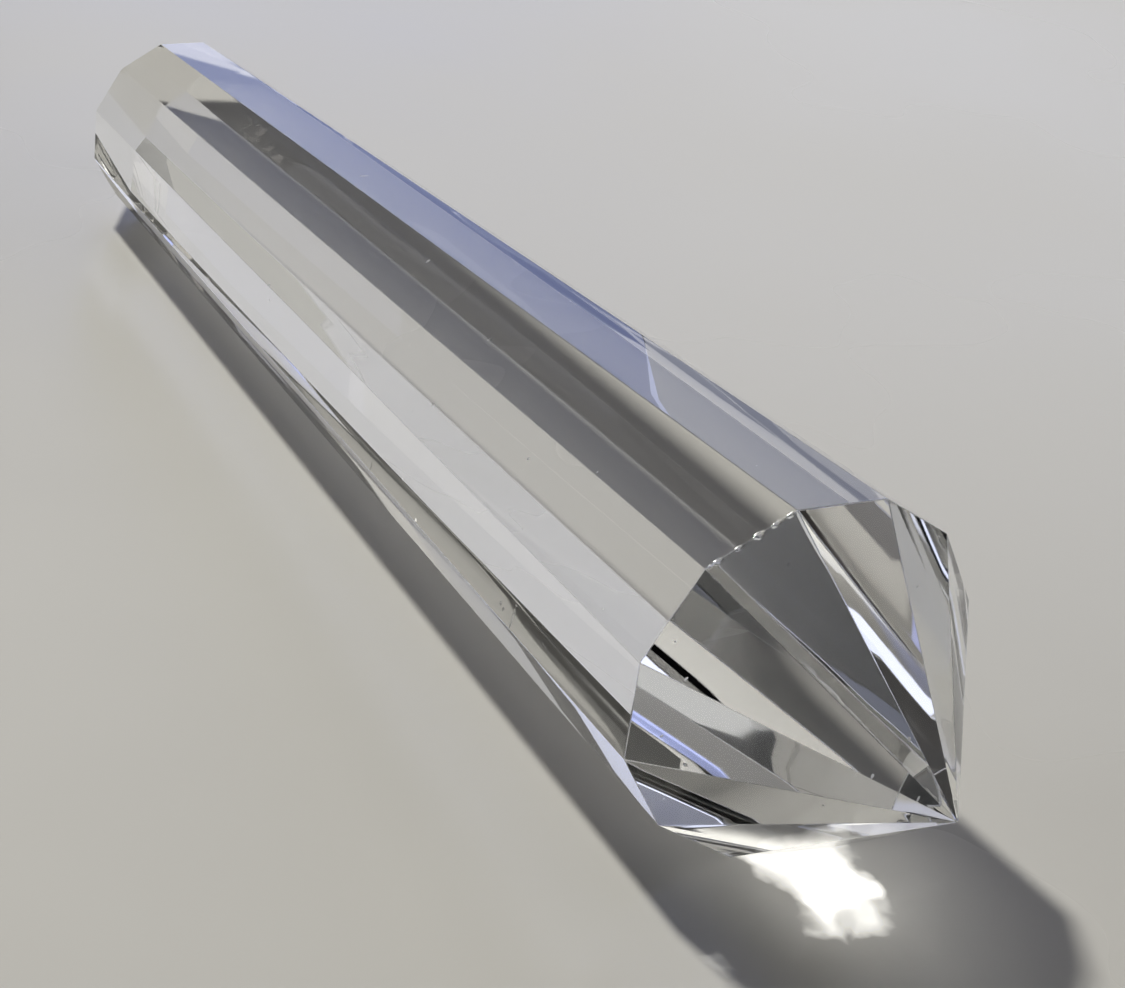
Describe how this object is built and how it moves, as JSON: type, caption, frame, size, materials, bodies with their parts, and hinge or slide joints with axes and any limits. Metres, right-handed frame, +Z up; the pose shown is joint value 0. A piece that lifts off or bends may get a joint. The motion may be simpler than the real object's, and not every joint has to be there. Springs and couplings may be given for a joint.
{
  "type": "clear quartz wand",
  "caption": "Clear quartz wand: a tapering faceted body cut to a blunt point at its wide end and a steeper point at its narrow end, lying on a long facet.",
  "frame": {"origin": "on the surface that the wand lies on, under the middle of its bounding box", "axes": "+X along the wand towards its wide point, +Z up from the surface that it lies on, +Y to the left of the wide point seen from behind it"},
  "size_m": [0.1272, 0.0246, 0.0241],
  "materials": {
    "clear_quartz": "clear colourless quartz, polished to flat bright facets with crisp edges"
  },
  "bodies": {
    "root": {"quartz_wand": "clear_quartz"}
  },
  "joints": []
}
